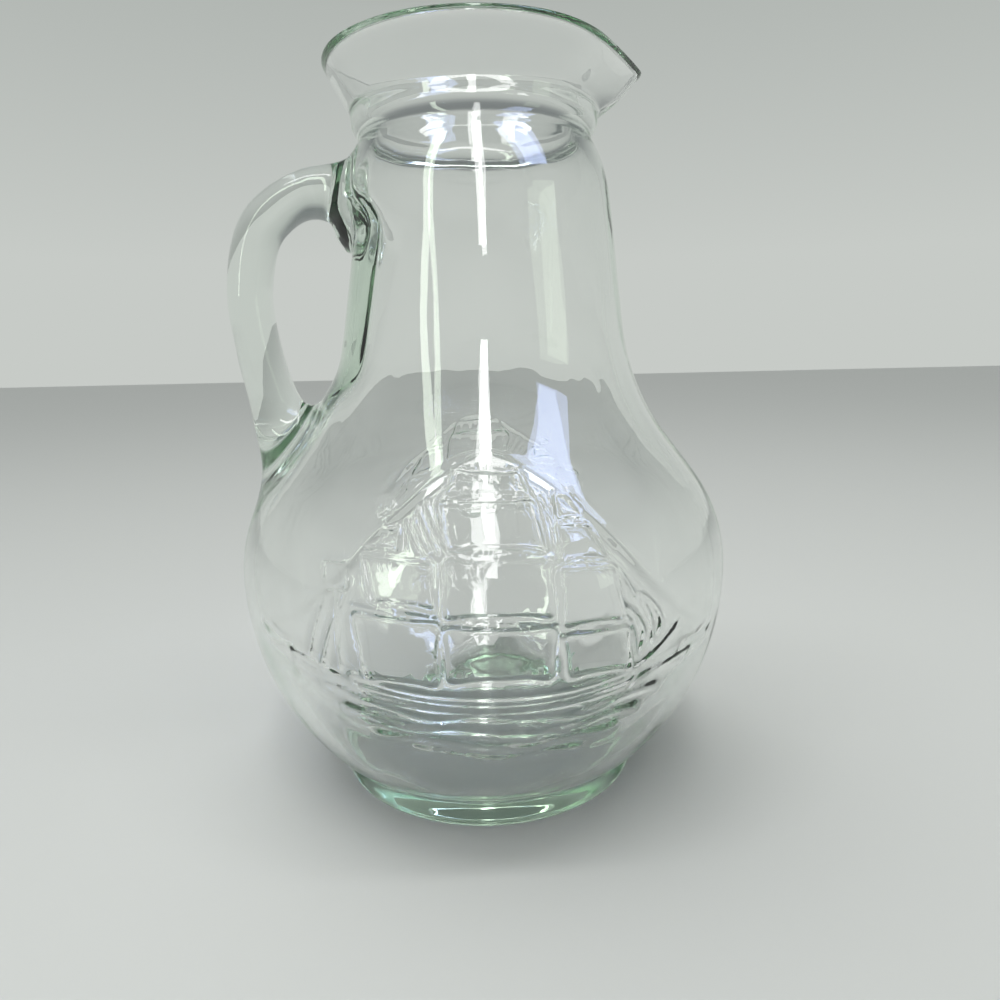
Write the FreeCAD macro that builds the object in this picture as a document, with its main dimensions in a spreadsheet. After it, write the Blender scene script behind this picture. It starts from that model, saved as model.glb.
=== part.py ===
import FreeCAD, Part
import math
import os
import re

import Sketcher

# A clear pressed-and-blown glass pitcher: one piece of glass with a bulbous body on a low foot, a long
# neck under a plain collar, a flared mouth drawn into a pouring lip, and a solid ear handle.
# The origin is the centre of the ring it stands on. +Z is up, +X is the pouring side, -X the handle side.

doc = FreeCAD.newDocument("GlassPitcher")
sheet = doc.addObject("Spreadsheet::Sheet", "Sizes")
sizes = {
    # foot and floor
    "foot_radius": 42.4,
    "foot_flare": 1.0,
    "foot_height": 8.0,
    "heel_round": 2.0,
    "stand_width": 5.9,
    "pushup_depth": 2.0,
    "pushup_round": 1.0,
    "floor_height": 9.5,
    "floor_round": 9.0,
    # bulb, shoulder and neck
    "wall": 3.2,
    "bulb_radius": 66.7,
    "bulb_height": 60.0,
    "lower_arc": 72.0,
    "upper_arc": 42.0,
    "shoulder_lean": 37.6,
    "neck_arc": 61.0,
    "neck_radius": 35.1,
    "neck_height": 157.0,
    "neck_lean": 6.5,
    "crown_arc": 32.0,
    # collar, flared mouth and lip
    "throat_rise": 14.2,
    "throat_wall": 5.6,
    "collar_inset": 3.3,
    "collar_flank": 2.2,
    "collar_height": 4.4,
    "collar_round": 1.2,
    "mouth_depth": 14.5,
    "mouth_height": 12.2,
    "rim_spread": 6.4,
    "rim_wall": 2.9,
    "rim_round": 0.9,
    "lip_throw": 7.0,
    "lip_round": 4.2,
    "lip_drop": 2.0,
    "lip_drop_start": 12.0,
    # flattened side of the neck inside the handle
    "flat_below_top": 9.4,
    "flat_above_tail": 28.0,
    "flat_depth": 4.6,
    "flat_lean": 11.0,
    "flat_wall": 6.5,
    "flat_round": 8.0,
    "flat_edge_round": 4.0,
    # handle
    "handle_reach": 61.0,
    "handle_rise": 2.4,
    "handle_thickness": 11.8,
    "handle_broader": 2.7,
    "root_height": 25.0,
    "root_broader": 0.5,
    "tail_rise": 24.0,
    "tail_thickness": 17.0,
    "tail_broader": 1.5,
    "root_fillet": 3.0,
    "tail_fillet": 4.0,
}
for row, (name, value) in enumerate(sizes.items(), start=1):
    sheet.set(f"A{row}", name)
    sheet.set(f"B{row}", str(value))
    sheet.setAlias(f"B{row}", name)
doc.recompute()

# Heights and radii that follow from the sizes: each piece of the outline stands on the one below it,
# and the collar, throat, rim and lip are measured from the neck that carries them.
follows = {
    "pushup_radius": "Sizes.foot_radius - Sizes.stand_width",
    "throat_height": "Sizes.neck_height + Sizes.throat_rise",
    "collar_bottom": "Sizes.throat_height + Sizes.collar_flank",
    "collar_top": "Sizes.collar_bottom + Sizes.collar_height",
    "rim_height": "Sizes.collar_top + Sizes.mouth_height",
    "mouth_start": "Sizes.rim_height - Sizes.mouth_depth",
    "collar_radius": "Sizes.neck_radius - Sizes.collar_inset",
    "throat_bore": "Sizes.collar_radius - Sizes.throat_wall",
    "rim_radius": "Sizes.collar_radius + Sizes.rim_spread",
    "lip_reach": "Sizes.rim_radius + Sizes.lip_throw",
    "handle_top": "Sizes.neck_height + Sizes.handle_rise",
    "handle_span": "Sizes.handle_reach - Sizes.neck_radius",
    "handle_breadth": "Sizes.handle_thickness + Sizes.handle_broader",
    "root_breadth": "Sizes.root_height + Sizes.root_broader",
    "tail_breadth": "Sizes.tail_thickness + Sizes.tail_broader",
    "tail_height": "Sizes.bulb_height + Sizes.tail_rise",
    "flat_top": "Sizes.handle_top - Sizes.flat_below_top",
    "flat_bottom": "Sizes.tail_height + Sizes.flat_above_tail",
}


def expand(formula):
    """Writes a formula out until it names nothing but cells of the sheet."""
    for name in reversed(follows):
        formula = re.sub(rf"Sizes\.{name}\b", f"({follows[name]})", formula)
    return formula


def size(name):
    return float(sheet.evalExpression(expand(f"Sizes.{name}")))


def vec(x, y, z=0.0):
    return FreeCAD.Vector(x, y, z)


def bind(item, prop, formula):
    item.setExpression(prop, expand(formula))


UPRIGHT = FreeCAD.Rotation(vec(1, 0, 0), 90)


def new_sketch(name, upright=True):
    sketch = doc.addObject("Sketcher::SketchObject", name)
    if upright:
        sketch.Placement = FreeCAD.Placement(vec(0, 0, 0), UPRIGHT)
    return sketch


def fix(sketch, kind, where, formula, value):
    """Adds a dimension and ties it to the sheet."""
    index = sketch.addConstraint(Sketcher.Constraint(kind, *where, value))
    bind(sketch, f"Constraints[{index}]", formula)


ORIGIN = (-1, 1)


def place(sketch, point, across, up):
    """Dimensions one point of a sketch from the origin; each entry is (formula, value) or None."""
    for kind, entry in (("DistanceX", across), ("DistanceY", up)):
        if entry:
            fix(sketch, kind, ORIGIN + point, entry[0], entry[1])


# ---------------------------------------------------------------------------------------------
# Small makers for solids: turned, stretched across, lofted, joined, cut and rounded.

def revolve(name, sketch):
    turned = doc.addObject("Part::Revolution", name)
    turned.Source = sketch
    turned.Axis = vec(0, 0, 1)
    turned.Angle = 360.0
    turned.Solid = True
    return turned


def right_through(name, sketch):
    """Extrudes an upright sketch both ways, past the whole width of the body."""
    block = doc.addObject("Part::Extrusion", name)
    block.Base = sketch
    block.DirMode = "Custom"
    block.Dir = vec(0, 1, 0)
    block.Symmetric = True
    block.Solid = True
    bind(block, "LengthFwd", "Sizes.bulb_radius * 2.4")
    return block


def loft(name, sections, ruled=True):
    body = doc.addObject("Part::Loft", name)
    body.Sections = sections
    body.Solid = True
    body.Ruled = ruled
    return body


def cut(name, base, tool):
    item = doc.addObject("Part::Cut", name)
    item.Base = base
    item.Tool = tool
    return item


def fuse(name, shapes):
    item = doc.addObject("Part::MultiFuse", name)
    item.Shapes = shapes
    return item


def rounded(name, base, *groups):
    """Fillets the edges of the base that pass each group's test, by the size the group names."""
    doc.recompute()
    item = doc.addObject("Part::Fillet", name)
    item.Base = base
    item.Edges = [(number, size(radius), size(radius)) for test, radius in groups
                  for number, edge in enumerate(base.Shape.Edges, start=1) if test(edge)]
    return item


def middle(edge):
    return edge.valueAt((edge.FirstParameter + edge.LastParameter) / 2)


def touches(item, edge):
    """True where the edge's middle lies on the item's surface or inside it."""
    return item.Shape.distToShape(Part.Vertex(middle(edge)))[0] < 0.01


def ring_at(radius_name, height):
    """Test for a whole circle about the axis, with the named radius, at this height."""
    def test(edge):
        box = edge.BoundBox
        level = abs(box.ZMax - height) < 0.05 and abs(box.ZMin - height) < 0.05
        return level and abs(box.XMax - size(radius_name)) < 0.05
    return test


# ---------------------------------------------------------------------------------------------
# Outline of the body from foot to throat. The cavity uses the same outline, one wall further in.

def polar(centre, radius, angle):
    return vec(centre.x + radius * math.cos(angle), centre.y + radius * math.sin(angle))


def arc(centre, radius, start, end):
    return Part.ArcOfCircle(Part.Circle(centre, vec(0, 0, 1), radius), start, end)


def body_outline(name, inset_formula, inset, low_name, hollow):
    """Half section of the body, or of its cavity when hollow, moved in by the inset."""
    sketch = new_sketch(name)
    low = size(low_name)
    top_name = "mouth_start" if hollow else "collar_top"
    top = size(top_name)
    lower = size("lower_arc") - inset
    upper = size("upper_arc") - inset
    waist = size("neck_arc") + inset
    crown = size("crown_arc") - inset
    lean = math.radians(size("shoulder_lean"))
    neck_lean = math.radians(size("neck_lean"))
    bulb = vec(size("bulb_radius") - inset, size("bulb_height"))
    neck = vec(size("neck_radius") - inset, size("neck_height"))

    lower_centre = vec(bulb.x - lower, bulb.y)
    upper_centre = vec(bulb.x - upper, bulb.y)
    low_angle = math.asin((low - bulb.y) / lower)
    shoulder = polar(upper_centre, upper, lean)
    # the waist arc rounds the corner where the shoulder line meets the neck line
    slope = math.tan(lean)
    neck_slope = math.tan(neck_lean)
    corner_up = (shoulder.x - neck.x + slope * shoulder.y - neck_slope * neck.y) / (slope - neck_slope)
    corner = vec(shoulder.x - slope * (corner_up - shoulder.y), corner_up)
    reach = waist * math.tan((lean - neck_lean) / 2)
    waist_low = vec(corner.x + reach * math.sin(lean), corner.y - reach * math.cos(lean))
    waist_high = vec(corner.x - reach * math.sin(neck_lean), corner.y + reach * math.cos(neck_lean))
    waist_centre = polar(waist_low, waist, lean)
    crown_centre = polar(neck, -crown, neck_lean)
    if hollow:
        throat_angle = math.acos((size("throat_bore") - crown_centre.x) / crown)
    else:
        throat_angle = math.asin((size("throat_height") - crown_centre.y) / crown)
    throat = polar(crown_centre, crown, throat_angle)
    start = polar(lower_centre, lower, low_angle)

    curves = [
        arc(lower_centre, lower, low_angle, 0),
        arc(upper_centre, upper, 0, lean),
        Part.LineSegment(shoulder, waist_low),
        arc(waist_centre, waist, math.pi + neck_lean, math.pi + lean),
        Part.LineSegment(waist_high, neck),
        arc(crown_centre, crown, neck_lean, throat_angle),
    ]
    below, above, shoulder_line, waist_arc, neck_line, crown_arc = sketch.addGeometry(curves, False)
    for first, second in (((below, 2), (above, 1)), ((above, 2), (shoulder_line, 1)),
                          ((shoulder_line, 2), (waist_arc, 2)), ((waist_arc, 1), (neck_line, 1)),
                          ((neck_line, 2), (crown_arc, 1))):
        sketch.addConstraint(Sketcher.Constraint("Tangent", *first, *second))
    place(sketch, (below, 2), (f"Sizes.bulb_radius - {inset_formula}", bulb.x),
          ("Sizes.bulb_height", bulb.y))
    place(sketch, (below, 3), None, ("Sizes.bulb_height", bulb.y))
    place(sketch, (below, 1), None, (f"Sizes.{low_name}", low))
    place(sketch, (neck_line, 2), (f"Sizes.neck_radius - {inset_formula}", neck.x),
          ("Sizes.neck_height", neck.y))
    if hollow:
        place(sketch, (crown_arc, 2), ("Sizes.throat_bore", throat.x), None)
    else:
        place(sketch, (crown_arc, 2), None, ("Sizes.throat_height", throat.y))
    fix(sketch, "Radius", (below,), f"Sizes.lower_arc - {inset_formula}", lower)
    fix(sketch, "Radius", (above,), f"Sizes.upper_arc - {inset_formula}", upper)
    fix(sketch, "Radius", (waist_arc,), f"Sizes.neck_arc + {inset_formula}", waist)
    fix(sketch, "Radius", (crown_arc,), f"Sizes.crown_arc - {inset_formula}", crown)
    fix(sketch, "Angle", (shoulder_line,), "90 deg + Sizes.shoulder_lean * 1 deg", math.pi / 2 + lean)
    fix(sketch, "Angle", (neck_line,), "90 deg + Sizes.neck_lean * 1 deg", math.pi / 2 + neck_lean)

    # the rest is straight lines: up the collar, across to the axis, down it and out along the bottom
    if hollow:
        corners = [throat, vec(throat.x, top), vec(0, top), vec(0, low), start]
    else:
        foot = size("foot_radius")
        foot_top = foot + size("foot_flare")
        corners = [throat, vec(size("collar_radius"), size("collar_bottom")), vec(size("collar_radius"), top),
                   vec(0, top), vec(0, 0), vec(foot, 0), vec(foot_top, low), start]
    lines = sketch.addGeometry([Part.LineSegment(a, b) for a, b in zip(corners, corners[1:])], False)
    chain = [(crown_arc, 2)] + [(line, end) for line in lines for end in (1, 2)] + [(below, 1)]
    for first, second in zip(chain[::2], chain[1::2]):
        sketch.addConstraint(Sketcher.Constraint("Coincident", *first, *second))
    if hollow:
        wall_line, top_line, axis_line, floor_line = lines
        sketch.addConstraint(Sketcher.Constraint("Vertical", wall_line))
        place(sketch, (top_line, 2), ("0", 0.0), (f"Sizes.{top_name}", top))
    else:
        flank, wall_line, top_line, axis_line, floor_line, foot_line, ledge = lines
        place(sketch, (wall_line, 1), ("Sizes.collar_radius", size("collar_radius")),
              ("Sizes.collar_bottom", size("collar_bottom")))
        sketch.addConstraint(Sketcher.Constraint("Vertical", wall_line))
        place(sketch, (top_line, 2), ("0", 0.0), (f"Sizes.{top_name}", top))
        place(sketch, (floor_line, 1), None, ("0", 0.0))
        place(sketch, (floor_line, 2), ("Sizes.foot_radius", foot), None)
        place(sketch, (foot_line, 2), ("Sizes.foot_radius + Sizes.foot_flare", foot_top), None)
        sketch.addConstraint(Sketcher.Constraint("Horizontal", ledge))
    sketch.addConstraint(Sketcher.Constraint("Horizontal", top_line))
    sketch.addConstraint(Sketcher.Constraint("Vertical", axis_line))
    sketch.addConstraint(Sketcher.Constraint("Horizontal", floor_line))
    return sketch


blown = revolve("BlownBody", body_outline("BodyOutline", "0", 0.0, "foot_height", False))
blown_cavity = revolve("BlownCavity", body_outline("CavityOutline", "Sizes.wall", size("wall"),
                                                   "floor_height", True))


# ---------------------------------------------------------------------------------------------
# Flared mouth. A round section at the collar is lofted to a rim that is drawn out to a rounded
# point on the pouring side; the inside is the same form, one rim wall smaller.

def lip_section(name, height_formula, height, inset_formula, inset):
    """Rim outline: an arc round the back, and two straight sides that run tangent to the lip's arc."""
    sketch = new_sketch(name, upright=False)
    sketch.Placement.Base = vec(0, 0, height)
    bind(sketch, "Placement.Base.z", height_formula)
    back = size("rim_radius") - inset
    nose = size("lip_round") - inset / 2
    centre = vec(size("lip_reach") - inset - nose, 0)
    turn = math.acos((back - nose) / centre.x)
    side = polar(vec(0, 0), back, turn)
    tip = polar(centre, nose, turn)
    low_side, low_tip = vec(side.x, -side.y), vec(tip.x, -tip.y)
    curves = [
        arc(vec(0, 0), back, turn, 2 * math.pi - turn),
        Part.LineSegment(low_side, low_tip),
        arc(centre, nose, -turn, turn),
        Part.LineSegment(tip, side),
    ]
    back_arc, low_line, nose_arc, high_line = sketch.addGeometry(curves, False)
    for first, second in (((back_arc, 2), (low_line, 1)), ((low_line, 2), (nose_arc, 1)),
                          ((nose_arc, 2), (high_line, 1)), ((high_line, 2), (back_arc, 1))):
        sketch.addConstraint(Sketcher.Constraint("Tangent", *first, *second))
    place(sketch, (back_arc, 3), ("0", 0.0), ("0", 0.0))
    place(sketch, (nose_arc, 3), None, ("0", 0.0))
    fix(sketch, "Radius", (back_arc,), f"Sizes.rim_radius - {inset_formula}", back)
    fix(sketch, "Radius", (nose_arc,), f"Sizes.lip_round - {inset_formula} / 2", nose)
    place(sketch, (nose_arc, 3), (f"Sizes.lip_reach - Sizes.lip_round - {inset_formula} / 2", centre.x), None)
    return sketch


def round_section(name, height_formula, height, radius_formula, radius):
    """Circle in four arcs that lie under the back, the sides and the nose of the rim outline."""
    sketch = new_sketch(name, upright=False)
    sketch.Placement.Base = vec(0, 0, height)
    bind(sketch, "Placement.Base.z", height_formula)
    cosine = (size("rim_radius") - size("lip_round")) / (size("lip_reach") - size("lip_round"))
    turn = math.acos(cosine)
    side_share = math.sqrt(1 - cosine ** 2)
    nose_share = 0.2
    narrow = math.asin(nose_share)
    stops = [turn, 2 * math.pi - turn, 2 * math.pi - narrow, 2 * math.pi + narrow, 2 * math.pi + turn]
    arcs = [arc(vec(0, 0), radius, a, b) for a, b in zip(stops, stops[1:])]
    back, low_side, nose, high_side = sketch.addGeometry(arcs, False)
    for first, second in ((back, low_side), (low_side, nose), (nose, high_side), (high_side, back)):
        sketch.addConstraint(Sketcher.Constraint("Coincident", first, 2, second, 1))
    for part in (back, low_side, nose):
        place(sketch, (part, 3), ("0", 0.0), ("0", 0.0))
    sketch.addConstraint(Sketcher.Constraint("Equal", back, high_side))
    fix(sketch, "Radius", (back,), radius_formula, radius)
    spread = (f"({radius_formula}) * sqrt(1 - ((Sizes.rim_radius - Sizes.lip_round)"
              " / (Sizes.lip_reach - Sizes.lip_round)) ^ 2)")
    fix(sketch, "DistanceY", ORIGIN + (back, 1), spread, radius * side_share)
    fix(sketch, "DistanceY", (back, 2) + ORIGIN, spread, radius * side_share)
    fix(sketch, "DistanceY", ORIGIN + (nose, 2), f"({radius_formula}) * {nose_share}", radius * nose_share)
    fix(sketch, "DistanceY", (nose, 1) + ORIGIN, f"({radius_formula}) * {nose_share}", radius * nose_share)
    return sketch


mouth = loft("Mouth", [
    round_section("MouthRoot", "Sizes.collar_top", size("collar_top"), "Sizes.collar_radius",
                  size("collar_radius")),
    lip_section("Rim", "Sizes.rim_height", size("rim_height"), "0", 0.0),
])
mouth_cavity = loft("MouthCavity", [
    round_section("MouthCavityRoot", "Sizes.mouth_start", size("mouth_start"), "Sizes.throat_bore",
                  size("throat_bore")),
    lip_section("RimInside", "Sizes.rim_height", size("rim_height"), "Sizes.rim_wall", size("rim_wall")),
])


def trim_tool():
    """Block above the rim whose underside curves down over the lip, so that the lip dips a little."""
    sketch = new_sketch("LipTrim")
    start, end = size("lip_drop_start"), size("lip_reach")
    drop, rim = size("lip_drop"), size("rim_height")
    radius = ((end - start) ** 2 + drop ** 2) / (2 * drop)
    centre = vec(start, rim - radius)
    sweep = math.asin((end * 1.2 - start) / radius)
    far = polar(centre, radius, math.pi / 2 - sweep)
    curves = [arc(centre, radius, math.pi / 2 - sweep, math.pi / 2),
              Part.LineSegment(vec(start, rim), vec(start, rim * 1.05)),
              Part.LineSegment(vec(start, rim * 1.05), vec(far.x, rim * 1.05)),
              Part.LineSegment(vec(far.x, rim * 1.05), far)]
    curve, left, top, right = sketch.addGeometry(curves, False)
    for first, second in (((curve, 2), (left, 1)), ((left, 2), (top, 1)), ((top, 2), (right, 1)),
                          ((right, 2), (curve, 1))):
        sketch.addConstraint(Sketcher.Constraint("Coincident", *first, *second))
    for line, way in ((left, "Vertical"), (top, "Horizontal"), (right, "Vertical")):
        sketch.addConstraint(Sketcher.Constraint(way, line))
    place(sketch, (curve, 2), ("Sizes.lip_drop_start", start), ("Sizes.rim_height", rim))
    place(sketch, (curve, 3), ("Sizes.lip_drop_start", start), None)
    fix(sketch, "Radius", (curve,), "((Sizes.lip_reach - Sizes.lip_drop_start) ^ 2 + Sizes.lip_drop ^ 2)"
        " / (2 * Sizes.lip_drop)", radius)
    place(sketch, (top, 2), ("Sizes.lip_reach * 1.2", far.x), ("Sizes.rim_height * 1.05", rim * 1.05))
    return right_through("LipTrimBlock", sketch)


# ---------------------------------------------------------------------------------------------
# The neck is pressed flat inside the handle, to leave room for the fingers. The flat runs out into
# the shoulder below and under the handle's root above. The cavity behind it is flattened as well,
# and the glass there is thicker.

RUN_OUT = 0.87  # rise of the tool's two slanted ends for each millimetre they go outwards


def flat_tool(name, inward_formula, inward):
    """Block with its inner face on the sloping flat, moved in by so much, and both ends running out."""
    sketch = new_sketch(name)
    lean = math.radians(size("flat_lean"))
    top, bottom, away = size("flat_top"), size("flat_bottom"), size("bulb_radius")
    neck_there = size("neck_radius") + (size("neck_height") - top) * math.tan(math.radians(size("neck_lean")))
    high = vec(-(neck_there - size("flat_depth") - inward), top)
    low = vec(high.x - (top - bottom) * math.tan(lean), bottom)
    low_out = vec(low.x - away, bottom - away * RUN_OUT)
    high_out = vec(high.x - away, top + away * RUN_OUT)
    corners = [high, low, low_out, high_out]
    lines = sketch.addGeometry([Part.LineSegment(a, b) for a, b in zip(corners, corners[1:] + corners[:1])])
    for first, second in zip(lines, lines[1:] + lines[:1]):
        sketch.addConstraint(Sketcher.Constraint("Coincident", first, 2, second, 1))
    neck_formula = "(Sizes.neck_radius + (Sizes.neck_height - Sizes.flat_top) * tan(Sizes.neck_lean * 1 deg))"
    high_formula = f"{neck_formula} - Sizes.flat_depth - {inward_formula}"
    low_formula = f"{high_formula} + (Sizes.flat_top - Sizes.flat_bottom) * tan(Sizes.flat_lean * 1 deg)"
    spots = (
        (0, high, high_formula, "Sizes.flat_top"),
        (1, low, low_formula, "Sizes.flat_bottom"),
        (2, low_out, f"{low_formula} + Sizes.bulb_radius",
         f"Sizes.flat_bottom - Sizes.bulb_radius * {RUN_OUT}"),
        (3, high_out, f"{high_formula} + Sizes.bulb_radius",
         f"Sizes.flat_top + Sizes.bulb_radius * {RUN_OUT}"),
    )
    for line, spot, across_formula, up_formula in spots:
        fix(sketch, "DistanceX", (lines[line], 1) + ORIGIN, across_formula, -spot.x)
        fix(sketch, "DistanceY", ORIGIN + (lines[line], 1), up_formula, spot.y)

    def end_of_flat(edge):
        crosswise = abs(edge.tangentAt(edge.FirstParameter).y) > 0.99
        return crosswise and middle(edge).x > low.x - 0.01

    return rounded(name + "Rounded", right_through(name + "Block", sketch), (end_of_flat, "flat_round"))


def edge_of_flat(tool):
    return lambda edge: touches(tool, edge) and abs(middle(edge).y) > size("flat_depth")


neck_flat = flat_tool("NeckFlat", "0", 0.0)
pressed = cut("PressedBody", blown, neck_flat)
pressed_soft = rounded("SoftBody", pressed, (edge_of_flat(neck_flat), "flat_edge_round"))

bowl = rounded("Bowl", blown_cavity, (lambda edge: middle(edge).z < size("floor_height") + 0.01
                                      and edge.BoundBox.XLength > size("foot_radius"), "floor_round"))
cavity_flat = flat_tool("CavityFlat", "Sizes.flat_wall", size("flat_wall"))
pressed_cavity = cut("PressedCavity", bowl, cavity_flat)
soft_cavity = rounded("SoftCavity", pressed_cavity, (edge_of_flat(cavity_flat), "flat_edge_round"))

# ---------------------------------------------------------------------------------------------
# Solid ear handle: a loft through oval sections, from a tall root under the collar, out and round,
# and down to a tail that lies on the shoulder. Each section is placed from what it is nearest to: the
# root and arm from the neck, the side from the handle's reach, and the shin, heel and tail from the
# shoulder. The root and tail sections lie inside the glass of the body, so that the joint is whole.

# radius of the shoulder at the tail's height, and the height half way down the handle
SHOULDER = ("(Sizes.bulb_radius - Sizes.upper_arc * (1 - cos(Sizes.shoulder_lean * 1 deg))"
            " - tan(Sizes.shoulder_lean * 1 deg) * (Sizes.tail_height - Sizes.bulb_height"
            " - Sizes.upper_arc * sin(Sizes.shoulder_lean * 1 deg)))")
MIDDLE = "(Sizes.handle_top + Sizes.tail_height) / 2"
stations = [
    # name, distance out, height, turn in degrees, thickness, breadth
    ("Root", "Sizes.neck_radius - 4.5", "Sizes.handle_top - 2.2", 0, "Sizes.root_height",
     "Sizes.root_breadth"),
    ("Throat", "Sizes.neck_radius + 1.6", "Sizes.handle_top - 0.2", 0,
     "Sizes.handle_thickness * 1.33", "Sizes.handle_breadth * 1.2"),
    ("Arm", "Sizes.neck_radius + Sizes.handle_span * 0.344", "Sizes.handle_top - 0.2", 12,
     "Sizes.handle_thickness * 1.06", "Sizes.handle_breadth"),
    ("Crook", "Sizes.neck_radius + Sizes.handle_span * 0.79", "Sizes.handle_top - Sizes.handle_span * 0.278",
     52, "Sizes.handle_thickness", "Sizes.handle_breadth"),
    ("Side", "Sizes.handle_reach", f"{MIDDLE} + 14.3", 90, "Sizes.handle_thickness",
     "Sizes.handle_breadth"),
    ("Leg", "Sizes.handle_reach - 1.2", f"{MIDDLE} - 2", 97, "Sizes.handle_thickness",
     "Sizes.handle_breadth"),
    ("Shin", f"{SHOULDER} - 2.4", "Sizes.tail_height + 22", 102, "Sizes.handle_thickness * 1.1",
     "Sizes.handle_breadth * 1.08"),
    ("Heel", f"{SHOULDER} - 4.9", "Sizes.tail_height + 11.6", 106,
     "(Sizes.handle_thickness * 0.35 + Sizes.tail_thickness * 0.65)",
     "(Sizes.handle_breadth * 0.35 + Sizes.tail_breadth * 0.65)"),
    ("Tail", f"{SHOULDER} - 9", "Sizes.tail_height", 110, "Sizes.tail_thickness", "Sizes.tail_breadth"),
]
ovals = []
for name, out, up, turn, thickness, breadth in stations:
    oval = doc.addObject("Part::Ellipse", "Handle" + name)
    # the long axis lies across the handle (Y); the oval's own normal follows the handle's course
    course = FreeCAD.Rotation(vec(0, 1, 0), -90 - turn)
    oval.Placement = FreeCAD.Placement(vec(0, 0, 0), course.multiply(FreeCAD.Rotation(vec(0, 0, 1), 90)))
    bind(oval, "Placement.Base.x", f"-({out})")
    bind(oval, "Placement.Base.z", up)
    bind(oval, "MajorRadius", f"({breadth}) / 2")
    bind(oval, "MinorRadius", f"({thickness}) / 2")
    ovals.append(oval)
handle = loft("EarHandle", ovals, ruled=False)

# ---------------------------------------------------------------------------------------------
# One piece of glass: body, mouth and handle joined, with the handle's ends run into the body. Then
# the cavity, the push-up under the foot and the dip of the lip come out, and the edges melt round.

def handle_joint(above):
    """Test for the edges where the handle meets the body, at its root above or its tail below."""
    split = (size("handle_top") + size("tail_height")) / 2

    def test(edge):
        return (middle(edge).z > split) == above and touches(handle, edge) and touches(pressed_soft, edge)
    return test


joined = fuse("Joined", [pressed_soft, mouth, handle])
outside = rounded("Outside", joined, (handle_joint(True), "root_fillet"),
                  (handle_joint(False), "tail_fillet"))
cavity = fuse("Cavity", [soft_cavity, mouth_cavity])
hollow = cut("Hollow", outside, cavity)

pushup = doc.addObject("Part::Sphere", "PushUp")
dome = "((Sizes.pushup_radius ^ 2 + Sizes.pushup_depth ^ 2) / (2 * Sizes.pushup_depth))"
bind(pushup, "Radius", dome)
bind(pushup, "Placement.Base.z", f"Sizes.pushup_depth - {dome}")
formed = cut("Formed", hollow, fuse("Waste", [pushup, trim_tool()]))


def rim_edge(inside):
    """Test for the rim's inner or outer edge; the short seams across the rim are left out."""
    lowest = size("rim_height") - size("lip_drop") * 1.5

    def test(edge):
        along = edge.BoundBox.ZMin > lowest and edge.Length > size("rim_wall") * 1.2
        return along and touches(mouth_cavity, edge) == inside
    return test


melted = rounded("MeltedOutside", formed, (rim_edge(False), "rim_round"),
                 (ring_at("collar_radius", size("collar_bottom")), "collar_round"),
                 (ring_at("foot_radius", 0), "heel_round"),
                 (ring_at("pushup_radius", 0), "pushup_round"))
pitcher = rounded("Pitcher", melted, (rim_edge(True), "rim_round"))
pitcher.Label = "pitcher"
doc.recompute()

for item in doc.Objects:
    faults = [state for state in item.State if state in ("Invalid", "Error")]
    if faults:
        raise RuntimeError(f"{item.Name} failed: {faults}")
if pitcher.Shape.isNull() or not pitcher.Shape.isValid() or len(pitcher.Shape.Solids) != 1:
    raise RuntimeError("the pitcher is not one valid solid")

os.makedirs("parts", exist_ok=True)
pitcher.Shape.exportStep(f"parts/{pitcher.Label}.step")
print(f"glass {pitcher.Shape.Volume / 1000:.1f} ml, brimful {cavity.Shape.Volume / 1000:.0f} ml")
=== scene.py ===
import math

import bmesh
import bpy
import numpy as np
from mathutils import Matrix, Vector, geometry


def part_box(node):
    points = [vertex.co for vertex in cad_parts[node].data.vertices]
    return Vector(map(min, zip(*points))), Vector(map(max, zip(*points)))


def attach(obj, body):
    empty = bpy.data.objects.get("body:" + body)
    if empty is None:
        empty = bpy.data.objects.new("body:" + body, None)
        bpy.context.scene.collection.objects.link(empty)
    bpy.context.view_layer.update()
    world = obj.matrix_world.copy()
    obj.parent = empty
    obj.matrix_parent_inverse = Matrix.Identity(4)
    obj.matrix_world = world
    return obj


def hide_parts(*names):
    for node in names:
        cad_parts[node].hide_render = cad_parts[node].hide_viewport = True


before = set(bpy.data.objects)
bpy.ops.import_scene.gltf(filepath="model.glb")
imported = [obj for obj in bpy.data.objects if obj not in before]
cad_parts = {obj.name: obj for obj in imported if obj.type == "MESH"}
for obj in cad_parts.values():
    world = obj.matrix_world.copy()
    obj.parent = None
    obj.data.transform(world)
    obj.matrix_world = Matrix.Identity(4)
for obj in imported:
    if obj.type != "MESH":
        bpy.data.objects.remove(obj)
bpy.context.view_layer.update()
MM = 0.001

# ---------------------------------------------------------------------------------------------
# The blown body. The pitcher is one piece of soda-lime glass, blown in a cut iron mould that gives
# the low foot, the bulb, the shoulder and the long neck; the neck is then pressed flat inside the
# handle. Its outline is turned from arcs. Sizes are in millimetres.

foot_radius, foot_flare, foot_height = 42.4, 1.0, 8.0
stand_width, pushup_depth, heel_round = 5.9, 2.0, 2.0
floor_height, floor_round, wall = 9.5, 9.0, 3.2
bulb_radius, bulb_height = 66.7, 60.0
lower_arc, upper_arc, neck_arc, crown_arc = 72.0, 42.0, 61.0, 32.0
shoulder_lean, neck_lean = math.radians(37.6), math.radians(6.5)
neck_radius, neck_height, throat_height = 35.1, 157.0, 171.2
flat_top, flat_bottom, flat_depth, flat_wall = 150.0, 112.0, 4.6, 6.5
flat_lean, flat_run_out = math.tan(math.radians(11.0)), 1.15
flat_edge_blend, flat_end_blend, flat_corner_blend = 6.0, 5.0, 1.0
COLUMNS = 160
COLUMN_STEP = 2 * math.pi / COLUMNS


def smooth_min(a, b, blend):
    """The lesser of two values, rounded off where they come within the blend of each other."""
    near = np.maximum(blend - np.abs(a - b), 0) / blend
    return np.minimum(a, b) - near * near * blend / 4


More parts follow.
